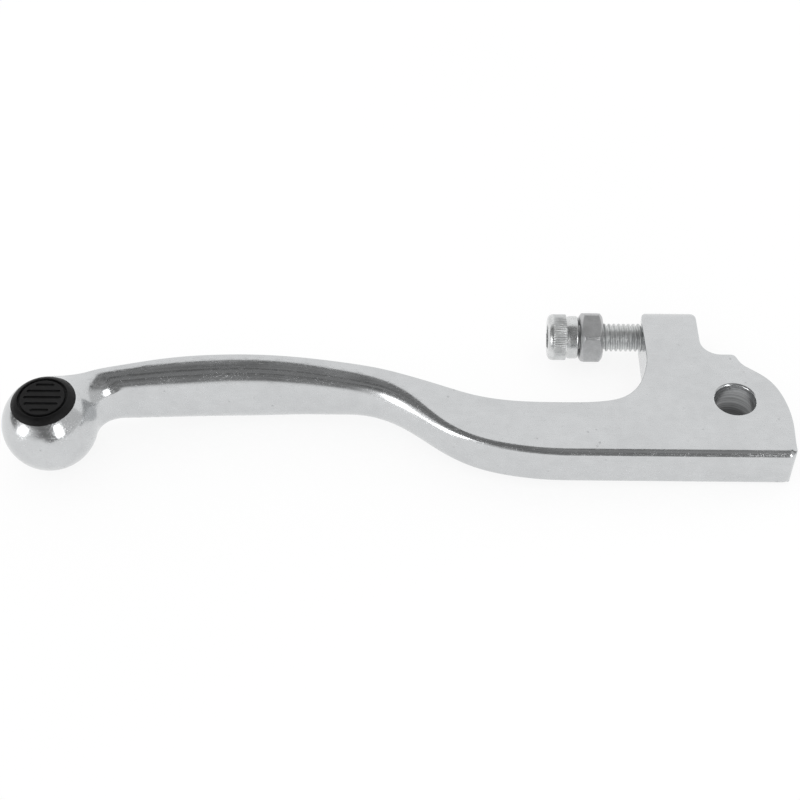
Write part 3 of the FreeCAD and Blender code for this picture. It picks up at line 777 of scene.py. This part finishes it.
def world():
    """White studio. Glossy surfaces mirror a dark room with two softboxes, a glow and a low card."""
    studio = bpy.data.worlds.new("studio")
    bpy.context.scene.world = studio
    g = Graph(studio)
    parts = g.add("ShaderNodeSeparateXYZ", {0: g.add("ShaderNodeTexCoord").outputs["Generated"]})
    x, y, z = [parts.outputs[axis] for axis in "XYZ"]
    azimuth = g.math("MULTIPLY", g.math("ARCTAN2", x, g.math("MULTIPLY", y, -1.0)), math.degrees(1))
    elevation = g.math("MULTIPLY", g.math("ARCSINE", z), math.degrees(1))

    stretched = {0: g.math("MULTIPLY", azimuth, 0.012), 1: g.math("MULTIPLY", elevation, 0.13)}
    strip = g.add("ShaderNodeCombineXYZ", stretched)
    inputs = {"Vector": strip.outputs[0], "Scale": 1.0, "Detail": 3.0}
    streaks = g.add("ShaderNodeTexNoise", inputs).outputs["Fac"]
    level = g.ramp(streaks, 0.34, 0.66, *ROOM_LEVELS)
    level = g.mix(g.ramp(azimuth, 0, 30), level, g.math("MULTIPLY", level, 1.35))
    right = g.math("MULTIPLY", g.ramp(azimuth, 38, 60), g.ramp(elevation, 64, 40))
    level = g.mix(right, level, 0.66)
    glow = g.math("MULTIPLY", g.between(azimuth, *GLOW_AZIMUTH), g.ramp(elevation, *GLOW_TOP))
    level = g.mix(glow, level, GLOW_LEVEL)
    card = g.math("MULTIPLY", g.between(azimuth, *CARD_AZIMUTH), g.ramp(elevation, *CARD_TOP))
    level = g.mix(card, level, CARD_LEVEL)
    dip = g.math("MULTIPLY", g.between(azimuth, 6, 14, 32, 42), 5.0)
    level = g.mix(g.ramp(g.math("ADD", elevation, dip), 3.5, 0.5), level, 1.0)
    level = g.mix(g.ramp(y, 0.30, 0.36), level, 1.0)

    lean = g.math("MULTIPLY", g.math("SUBTRACT", elevation, LEFT_BOX_MIDDLE), LEFT_BOX_LEAN)
    leaning = g.math("SUBTRACT", azimuth, lean)
    left_box = g.math("MULTIPLY", g.between(leaning, *LEFT_BOX_AZIMUTH),
                      g.between(elevation, *LEFT_BOX_HEIGHT))
    right_box = g.math("MULTIPLY", g.between(azimuth, *RIGHT_BOX_AZIMUTH),
                       g.between(elevation, *RIGHT_BOX_HEIGHT))
    level = g.math("ADD", level, g.math("MULTIPLY", g.math("ADD", left_box, right_box), BOX_LEVEL))
    level = g.mix(g.add("ShaderNodeLightPath").outputs["Is Glossy Ray"], 1.0, level)
    back = g.add("ShaderNodeBackground", {"Color": (1, 1, 1, 1), "Strength": level})
    g.add("ShaderNodeOutputWorld", {"Surface": back.outputs[0]})


def finish_material(g, m, colour, roughness, bump_height, metallic, specular=0.5):
    """Principled shader with a bump in metres."""
    bump = g.add("ShaderNodeBump", {"Strength": 1.0, "Distance": 1.0, "Height": bump_height}).outputs[0]
    inputs = {"Metallic": metallic, "Base Color": colour, "Roughness": roughness,
              "Specular IOR Level": specular, "Normal": bump}
    shader = g.add("ShaderNodeBsdfPrincipled", inputs)
    g.add("ShaderNodeOutputMaterial", {"Surface": shader.outputs[0]})
    return m


def edge_wear(g, radius, contrast):
    """One along sharp edges and zero elsewhere, from a rounded copy of the normal."""
    rounded = g.add("ShaderNodeBevel", {"Radius": radius * MM}, samples=4).outputs[0]
    normal = g.add("ShaderNodeNewGeometry").outputs["Normal"]
    along = g.add("ShaderNodeVectorMath", {0: rounded, 1: normal}, operation="DOT_PRODUCT").outputs["Value"]
    return g.ramp(along, 1.0 - 0.001, 1.0 - contrast)


def aluminium():
    """Polished forging: clouds, scratches, strokes, nicks, worn edges, and a turned hole with painted shade
    darker towards its bottom and painted light at its top.
    """
    m = bpy.data.materials.new("polished_aluminium")
    g = Graph(m)
    place = g.add("ShaderNodeTexCoord").outputs["Object"]
    cloud = g.noise(place, (1, 1, 1), 140.0, 5.0)
    grain = g.noise(place, (0.5, 1, 1), 1300.0, 2.0)
    scratch = g.noise(place, (0.05, 1, 1), 2600.0, 3.0)
    waves = g.noise(place, (0.12, 1, 1), 420.0, 2.0)
    turned = g.add("ShaderNodeMapping", {"Vector": place, "Rotation": (0.3, 0.0, 0.9)}).outputs[0]
    strokes = g.noise(turned, (0.02, 1, 1), 1500.0, 0.0)
    stroke = g.ramp(g.math("ABSOLUTE", g.math("SUBTRACT", strokes, 0.5)), 0.012, 0.0)
    fleck = g.ramp(g.noise(place, (0.22, 1, 1), 3800.0, 2.0), 0.46, 0.72)
    speck = g.ramp(g.noise(place, (0.7, 1, 1), 2700.0, 1.0), 0.60, 0.74)
    patch = g.ramp(g.noise(place, (1, 1, 1), 90.0, 1.0), 0.52, 0.62)
    stroke = g.math("MULTIPLY", stroke, patch)
    cells = g.add("ShaderNodeTexVoronoi", {"Vector": place, "Scale": 420.0}).outputs["Distance"]
    nicked = g.ramp(g.noise(place, (1, 1, 1), 160.0, 1.0), 0.56, 0.62)
    nick = g.math("MULTIPLY", g.ramp(cells, 0.16, 0.05), nicked)
    wear = edge_wear(g, 0.35, 0.12)

    blotch = g.noise(place, (1, 1, 1), 420.0, 3.0)
    parts = g.add("ShaderNodeSeparateXYZ", {0: place})
    squares = [g.math("POWER", parts.outputs[axis], 2.0) for axis in "XY"]
    from_pin = g.math("SQRT", g.total(*squares))
    in_bore = g.ramp(from_pin, (PIVOT_HOLE_R + 0.12) * MM, (PIVOT_HOLE_R + 0.02) * MM)
    rings = g.noise(place, (0.03, 0.03, 1), 3200.0, 2.0)

    spots = [g.ramp(texture, 0.3, 0.7, low, high) for texture, low, high in (
        (cloud, 0.975, 1.02), (blotch, -0.02, 0.02), (grain, -0.008, 0.008), (scratch, -0.006, 0.006))]
    tone = g.total(*spots, g.math("MULTIPLY", wear, 0.06), g.math("MULTIPLY", nick, -0.16))
    # Painted shade and light in the pivot hole: the colour darkens towards the lower mouth and brightens
    # towards the upper one, in place of the shadow under the block.
    bore_painted_shade = g.ramp(parts.outputs["Z"], -0.85 * HALF_T * MM, HALF_T * MM, 0.22, 1.5)
    bore_rings_and_painted_shade = g.math("MULTIPLY", bore_painted_shade, g.ramp(rings, 0.3, 0.7, 0.6, 1.08))
    tone = g.math("MULTIPLY", tone, g.mix(in_bore, 1.0, bore_rings_and_painted_shade))
    colour = g.tint(tone, (0.590, 0.600, 0.608))
    haze = g.weighted((fleck, 0.14), (speck, 0.12))
    rough = g.math("ADD", g.ramp(cloud, 0.3, 0.7, 0.13, 0.16), haze)
    rough = g.math("ADD", rough, g.math("MULTIPLY", g.math("ADD", nick, stroke), 0.18))
    rough = g.mix(in_bore, rough, 0.30)
    bump = g.weighted((scratch, 2e-6), (waves, 6e-6), (grain, 3e-6), (stroke, -4e-6), (nick, -3e-5),
                      (g.math("MULTIPLY", rings, in_bore), 2.5e-5))
    return finish_material(g, m, colour, rough, bump, 1.0)


def steel(name, base, rough_low, rough_high, grain_height, turning):
    """Plated steel: cloudy plating, fine turning marks round X, bright worn edges, dull knurl and thread."""
    m = bpy.data.materials.new(name)
    g = Graph(m)
    place = g.add("ShaderNodeTexCoord").outputs["Object"]
    cloud = g.noise(place, (1, 1, 1), 500.0, 4.0)
    grain = g.noise(place, (1, 1, 1), 3000.0, 3.0)
    rings = g.noise(place, (1, 0.04, 0.04), 3500.0, 2.0)
    wear = edge_wear(g, 0.2, 0.10)
    tone = g.math("ADD", g.ramp(cloud, 0.3, 0.7, 0.90, 1.06), g.ramp(grain, 0.3, 0.7, -0.05, 0.05))
    tone = g.math("ADD", tone, g.math("MULTIPLY", wear, 0.18))
    colour = g.tint(tone, base)
    rough = g.ramp(cloud, 0.3, 0.7, rough_low, rough_high)
    rough = g.math("ADD", rough, g.ramp(grain, 0.3, 0.7, -0.03, 0.03))
    along = g.add("ShaderNodeSeparateXYZ", {0: place}).outputs["X"]
    soft = 0.15 * MM
    knurl_start, knurl_end = KNURL_START_X * MM, KNURL_END_X * MM
    cut = g.between(along, knurl_start - soft, knurl_start + soft, knurl_end - soft, knurl_end)
    cut = g.math("ADD", cut, g.ramp(along, UNDER_HEAD_X * MM, UNDER_HEAD_X * MM + soft))
    rough = g.mix(cut, rough, 0.45)
    bump = g.weighted((grain, grain_height), (rings, turning))
    return finish_material(g, m, colour, rough, bump, 1.0)


def black_plastic():
    """Matt moulded plastic with a fine eroded texture, slightly rubbed along its edges."""
    m = bpy.data.materials.new("black_plastic")
    g = Graph(m)
    place = g.add("ShaderNodeTexCoord").outputs["Object"]
    grain = g.noise(place, (1, 1, 1), 2600.0, 4.0)
    cloud = g.noise(place, (1, 1, 1), 260.0, 3.0)
    wear = edge_wear(g, 0.25, 0.15)
    tone = g.math("ADD", g.ramp(cloud, 0.3, 0.7, 0.0025, 0.005), g.math("MULTIPLY", wear, 0.006))
    tone = g.math("ADD", tone, g.ramp(grain, 0.4, 0.8, 0.0, 0.003))
    colour = g.add("ShaderNodeCombineColor", {0: tone, 1: tone, 2: g.math("MULTIPLY", tone, 1.08)}).outputs[0]
    rough = g.ramp(grain, 0.3, 0.7, 0.42, 0.60)
    bump = g.weighted((grain, 1.2e-5), (cloud, 2e-5))
    return finish_material(g, m, colour, rough, bump, 0.0, 0.22)


def table_white():
    """Backlit white table with only faint shadows; a painted shadow dims its glow under the pivot hole."""
    m = bpy.data.materials.new("table_white")
    g = Graph(m)
    place = g.add("ShaderNodeTexCoord").outputs["Object"]
    from_pin = g.add("ShaderNodeVectorMath", {0: place}, operation="LENGTH").outputs["Value"]
    tone = g.ramp(g.noise(place, (1, 1, 1), 6.0, 2.0), 0.3, 0.7, 0.16, 0.17)
    colour = g.add("ShaderNodeCombineColor", {0: tone, 1: tone, 2: tone}).outputs[0]
    # Painted shadow: the glow is dimmed in a soft disc round the pivot pin, where the block shades the table.
    light = g.ramp(from_pin, 5.5 * MM, 10.5 * MM, 0.45, 0.84)
    inputs = {"Base Color": colour, "Roughness": 0.9, "Specular IOR Level": 0.0,
              "Emission Color": (1, 1, 1, 1), "Emission Strength": light}
    shader = g.add("ShaderNodeBsdfPrincipled", inputs)
    g.add("ShaderNodeOutputMaterial", {"Surface": shader.outputs[0]})
    return m


# ---------------------------------------------------------------- stage

TABLE_GAP = 0.0001
TABLE_HALF_SIDE = 3.0


def floor():
    """White table that the ball and the block's end rest on."""
    ball_x, end_x = BALL[0] * MM, (BLOCK_END_X - END_CORNER_ROUND) * MM
    low = cad_low.z - TABLE_GAP
    slope = (-HALF_T * MM - cad_low.z) / (end_x - ball_x)
    s = TABLE_HALF_SIDE
    corners = [(x, y, low + slope * (x - ball_x)) for x, y in ((-s, -s), (s, -s), (s, s), (-s, s))]
    mesh = bpy.data.meshes.new("table")
    mesh.from_pydata(corners, [], [(0, 1, 2, 3)])
    table = bpy.data.objects.new("table", mesh)
    bpy.context.scene.collection.objects.link(table)
    table.data.materials.append(table_white())


# Camera: its place in millimetres, and its angles in degrees
CAMERA_AT = (-57.99, -189.96, 207.39)
CAMERA_DOWN = 47.0
CAMERA_HEADING = 2.34
CAMERA_ROLL = -1.26
CAMERA_LENS = 63.47


def camera():
    data = bpy.data.cameras.new("camera")
    data.lens = CAMERA_LENS
    data.clip_start, data.clip_end = 0.01, 20
    cam = bpy.data.objects.new("camera", data)
    bpy.context.scene.collection.objects.link(cam)
    down, heading, roll = [math.radians(x) for x in (CAMERA_DOWN, CAMERA_HEADING, CAMERA_ROLL)]
    aim = Matrix.Rotation(heading, 4, "Z") @ Matrix.Rotation(math.pi / 2 - down, 4, "X")
    turn = aim @ Matrix.Rotation(roll, 4, "Z")
    cam.matrix_world = Matrix.Translation(Vector(CAMERA_AT) * MM) @ turn
    bpy.context.scene.camera = cam


lever_body(aluminium())
end_plug(black_plastic())
adjuster_screw(steel("zinc_plated_steel", (0.66, 0.67, 0.67), 0.22, 0.32, 1.5e-6, 3e-6))
lock_nut(steel("dull_plated_steel", (0.53, 0.535, 0.54), 0.34, 0.48, 8e-6, 0.0))
floor()
world()
camera()
bpy.context.scene.view_settings.view_transform = "Standard"
